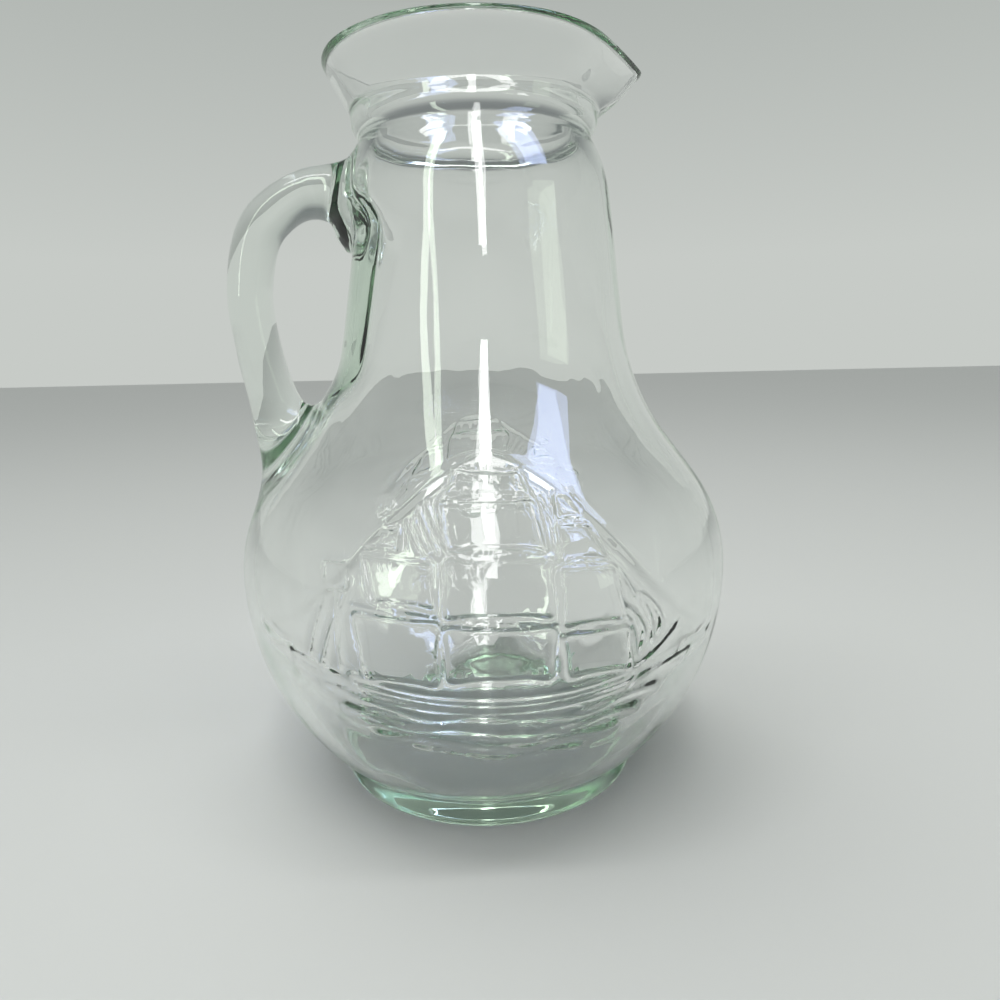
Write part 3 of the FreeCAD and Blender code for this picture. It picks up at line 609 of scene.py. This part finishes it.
def joint(loop, ring_points, blend):
    """Rings of points between a loop on the body and a ring of the rod, drawn into a smooth fillet."""
    shares = np.linspace(0, 1, JOINT_RINGS + 2)[:, None, None]
    patch = grid_points[loop][None] * (1 - shares) + ring_points[None] * shares
    for _ in range(SMOOTHING_ROUNDS):
        mean = (np.roll(patch, 1, 1) + np.roll(patch, -1, 1))[1:-1] + patch[2:] + patch[:-2]
        inner = (0.4 * patch[1:-1] + 0.6 * mean / 4).reshape(-1, 3)
        patch[1:-1] = settle(inner, blend).reshape(JOINT_RINGS, RING_SIZE, 3)
    for _ in range(SETTLING_ROUNDS):
        patch[1:-1] = settle(patch[1:-1].reshape(-1, 3), blend).reshape(JOINT_RINGS, RING_SIZE, 3)
    return patch[1:-1]


# the free part of the rod runs between the two places where it leaves the neck and the shoulder
root_columns, tail_columns = 13, 8
half_turn = COLUMNS // 2
rod_start = float(np.interp(42.5, stations[:4, 0], station_run[:4]))
rod_end = station_run[6] - 5.0
rings = [rod_ring(at) for at in np.linspace(rod_start, rod_end, ROD_RINGS)]

# both loops start beside the rod's outer side and run round it as the rings do: at the neck that is
# from the top and backwards, on the shoulder from the bottom
root_block = (row_at(ROOT_LOW), row_at(ROOT_HIGH), half_turn - root_columns, half_turn + root_columns)
tail_block = (row_at(TAIL_LOW), row_at(TAIL_HIGH), half_turn - tail_columns, half_turn + tail_columns)
clear_block(*root_block)
clear_block(*tail_block)
root_loop = np.roll(block_loop(*root_block)[::-1], 1)
tail_loop = np.roll(block_loop(*tail_block), RING_SIZE // 2)
chain = [*joint(root_loop, rings[0], root_blend), *rings, *joint(tail_loop, rings[-1], tail_blend)[::-1]]
start = sum(len(v) for v in vertices)
vertices.append(np.vstack(chain))
loops = [root_loop, *(start + RING_SIZE * k + np.arange(RING_SIZE) for k in range(len(chain))), tail_loop]
for lower, upper in zip(loops, loops[1:]):
    for k in range(RING_SIZE):
        n = (k + 1) % RING_SIZE
        quads.append((int(lower[k]), int(lower[n]), int(upper[n]), int(upper[k])))

# ---------------------------------------------------------------------------------------------
# The finished glass. Foot, bulb, neck, mouth and handle cool as one piece, so all of it is one closed
# mesh with an outside, a rim and an inside, of one clear glass that is faintly green where it is thick.

for row, column in zip(*np.where(cell_used)):
    n = (column + 1) % COLUMNS
    cell = (index[row, column], index[row, n], index[row + 1, n], index[row + 1, column])
    quads.append(tuple(int(i) for i in cell))
points = np.vstack(vertices)
under_centre, floor_centre = len(points), len(points) + 1
points = np.vstack([points, [(0, 0, pushup_depth), (0, 0, floor_height)]])
for column in range(COLUMNS):
    n = (column + 1) % COLUMNS
    triangles.append((int(index[0, n]), int(index[0, column]), under_centre))
    triangles.append((int(index[-1, column]), int(index[-1, n]), floor_centre))
mesh = bpy.data.meshes.new("pitcher_glass")
mesh.from_pydata((points * MM).tolist(), [], quads + triangles)
shape = bmesh.new()
shape.from_mesh(mesh)
# the cleared blocks leave vertices without a face behind
loose = [v for v in shape.verts if not v.link_faces]
bmesh.ops.delete(shape, geom=loose, context="VERTS")
bmesh.ops.recalc_face_normals(shape, faces=shape.faces)
for face in shape.faces:
    face.smooth = True
shape.to_mesh(mesh)
shape.free()
pitcher = bpy.data.objects.new("pitcher_glass", mesh)
bpy.context.scene.collection.objects.link(pitcher)


def linear(colour):
    """A hex sRGB colour as the linear values that shaders take."""
    parts = [int(colour[i:i + 2], 16) / 255 for i in (1, 3, 5)]
    return [p / 12.92 if p <= 0.04045 else ((p + 0.055) / 1.055) ** 2.4 for p in parts] + [1.0]


def add_node(tree, kind, **inputs):
    """Adds a node, and sets or links its inputs."""
    node = tree.nodes.new(kind)
    for name, value in inputs.items():
        socket = node.inputs[name.replace("_", " ")]
        if isinstance(value, bpy.types.NodeSocket):
            tree.links.new(value, socket)
        else:
            socket.default_value = value
    return node


def new_material(name):
    """An empty material."""
    material = bpy.data.materials.new(name)
    material.use_nodes = True
    material.node_tree.nodes.clear()
    return material


# Fire-polished soda-lime glass: clear and glossy, with a faint haze of handling in patches and a trace
# of orange peel in the highlights. Its green only shows where the eye looks through much glass.
def soda_lime_glass():
    haze_patch, peel_dimple = 14.3 * MM, 6.67 * MM
    material = new_material("soda_lime_glass_fire_polished")
    tree = material.node_tree
    place = add_node(tree, "ShaderNodeTexCoord")
    haze = add_node(tree, "ShaderNodeTexNoise", Vector=place.outputs["Object"], Scale=1 / haze_patch,
                    Detail=3.0)
    wear = add_node(tree, "ShaderNodeMapRange", Value=haze.outputs[0], From_Min=0.45, From_Max=0.8,
                    To_Min=0.0, To_Max=0.045)
    orange_peel = add_node(tree, "ShaderNodeTexNoise", Vector=place.outputs["Object"], Scale=1 / peel_dimple,
                           Detail=2.0, Roughness=0.4)
    skin = add_node(tree, "ShaderNodeBump", Height=orange_peel.outputs[0], Strength=0.25,
                    Distance=0.08 * MM)
    surface = add_node(tree, "ShaderNodeBsdfPrincipled", Base_Color=linear("#ffffff"), IOR=1.52,
                       Roughness=wear.outputs[0], Transmission_Weight=1.0, Normal=skin.outputs[0])
    tint = add_node(tree, "ShaderNodeVolumeAbsorption", Color=linear("#87cc92"), Density=7.2)
    add_node(tree, "ShaderNodeOutputMaterial", Surface=surface.outputs[0], Volume=tint.outputs[0])
    return material


pitcher.data.materials.append(soda_lime_glass())
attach(pitcher, "root")
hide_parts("pitcher")

# ---------------------------------------------------------------------------------------------
# Studio: a pale table top of matt board, pale walls that darken overhead, and soft lamps in the places
# of a room's tube light and windows, which leave their long reflections on the glass. None of it is
# part of the object.

low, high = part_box("pitcher")
tall = high.z - low.z
span = 14 * tall


# Matt pale board, slightly uneven to the touch: it takes the shadow and shows its own colour, with no
# gloss.
def matt_board(colour):
    board_grain = 5.9 * MM
    material = new_material("matt_board")
    tree = material.node_tree
    grain = add_node(tree, "ShaderNodeTexNoise", Scale=2 * span / board_grain, Detail=3.0)
    rough = add_node(tree, "ShaderNodeMapRange", Value=grain.outputs[0], To_Min=0.8, To_Max=0.95)
    surface = add_node(tree, "ShaderNodeBsdfPrincipled", Base_Color=linear(colour),
                       Roughness=rough.outputs[0], Specular_IOR_Level=0.1)
    add_node(tree, "ShaderNodeOutputMaterial", Surface=surface.outputs[0])
    return material


def board(name, corners, colour):
    """A flat board that stands by for the picture only."""
    sheet = bpy.data.meshes.new(name)
    sheet.from_pydata([tuple(c) for c in corners], [], [tuple(range(len(corners)))])
    item = bpy.data.objects.new(name, sheet)
    item.data.materials.append(matt_board(colour))
    bpy.context.scene.collection.objects.link(item)


# the table lies a tenth of a millimetre lower, so that glass and board don't share a surface
under = low.z - 0.1 * MM
board("table_top", [(-span, -span, under), (span, -span, under), (span, span, under), (-span, span, under)],
      "#cfd1ce")

world = bpy.data.worlds.new("studio")
bpy.context.scene.world = world
world.use_nodes = True
room = world.node_tree
room.nodes.clear()
way = add_node(room, "ShaderNodeTexCoord")
split = add_node(room, "ShaderNodeSeparateXYZ", Vector=way.outputs["Generated"])
rise = add_node(room, "ShaderNodeMapRange", Value=split.outputs["Z"], From_Min=-0.2, From_Max=1.0)
walls = add_node(room, "ShaderNodeValToRGB", Fac=rise.outputs[0])
for stop, colour in ((0.25, "#c7cbc7"), (0.47, "#b2b7b3"), (0.6, "#7a7f7f"), (0.8, "#747979")):
    mark = walls.color_ramp.elements.new(stop)
    mark.color = linear(colour)
walls.color_ramp.elements.remove(walls.color_ramp.elements[0])
walls.color_ramp.elements.remove(walls.color_ramp.elements[-1])
backdrop = add_node(room, "ShaderNodeBackground", Color=walls.outputs[0], Strength=1.0)
add_node(room, "ShaderNodeOutputWorld", Surface=backdrop.outputs[0])

middle = Vector((0, 0, 0.5 * tall))


def lamp_place(azimuth, elevation, far=5.0):
    """A place so many degrees right of the camera and above the table, as seen from the pitcher."""
    turn, rise = math.radians(azimuth), math.radians(elevation)
    way = Vector((math.sin(turn) * math.cos(rise), -math.cos(turn) * math.cos(rise), math.sin(rise)))
    return middle + far * tall * way


def aimed(name, lamp, place, aim):
    """Hangs a lamp at a place, facing what it is aimed at."""
    item = bpy.data.objects.new(name, lamp)
    item.location = place
    item.rotation_euler = (aim - place).to_track_quat("-Z", "Y").to_euler()
    bpy.context.scene.collection.objects.link(item)
    return item


def softbox(name, place, width, height, power, colour="#ffffff"):
    """A flat soft lamp that faces the pitcher."""
    lamp = bpy.data.lights.new(name, "AREA")
    lamp.shape = "RECTANGLE"
    lamp.size, lamp.size_y = width, height
    lamp.energy = power
    lamp.color = linear(colour)[:3]
    return aimed(name, lamp, place, middle)


softbox("ceiling_tube", lamp_place(1, 48), 0.5 * tall, 5.0 * tall, 3.0)
softbox("ceiling_bar", lamp_place(0, 78), 6.0 * tall, 0.5 * tall, 3.0)

# the windows are only seen in the glass, so that the table keeps its own neutral colour
windows = [softbox("sky_window", lamp_place(53, 52), 1.7 * tall, 3.4 * tall, 4.2, "#c0cfff"),
           softbox("garden_window", lamp_place(-43, 33), 0.5 * tall, 5.2 * tall, 2.6, "#eefbe8"),
           softbox("garden_door", lamp_place(58, 14), 1.4 * tall, 1.8 * tall, 0.5, "#e6f7dc")]
for window in windows:
    window.visible_diffuse = False

# plain light from the sky behind gives the soft shadow and leaves no bright disc in the glass
sun = bpy.data.lights.new("skylight", "SUN")
sun.energy, sun.angle = 1.15, math.radians(70)
skylight = aimed("skylight", sun, lamp_place(-120, 62), Vector((0, 0, 0)))
skylight.visible_glossy = skylight.visible_transmission = False

# light crosses the glass by many total reflections before it comes out
bounces = bpy.context.scene.cycles
bounces.max_bounces = bounces.transmission_bounces = bounces.glossy_bounces = 32

# ---------------------------------------------------------------------------------------------
# Camera, held a little above the middle of the pitcher and close to it, so that it looks down at the
# ship on the front and up past the rim.

camera_far, camera_high = 1.1295 * tall, 0.6315 * tall
swing, pitch, yaw, roll = math.radians(-2.0), math.radians(11.56), math.radians(1.26), math.radians(-1.14)
forward = Vector((math.sin(yaw) * math.cos(pitch), math.cos(yaw) * math.cos(pitch), -math.sin(pitch)))
level_right = Vector((math.cos(yaw), -math.sin(yaw), 0))
level_up = level_right.cross(forward)
right = math.cos(roll) * level_right + math.sin(roll) * level_up
up = -math.sin(roll) * level_right + math.cos(roll) * level_up
turned = Matrix.Rotation(swing, 4, "Z")
gaze = Matrix((right, up, -forward)).transposed().to_4x4()
stand = Matrix.Translation((0, -camera_far, camera_high)) @ gaze
lens = bpy.data.cameras.new("camera")
lens.lens, lens.sensor_width = 27.47, 36.0
lens.clip_start, lens.clip_end = 0.01, 20.0
camera = bpy.data.objects.new("camera", lens)
camera.matrix_world = turned @ stand
bpy.context.scene.collection.objects.link(camera)
bpy.context.scene.camera = camera
bpy.context.scene.view_settings.view_transform = "Standard"

bpy.context.view_layer.update()
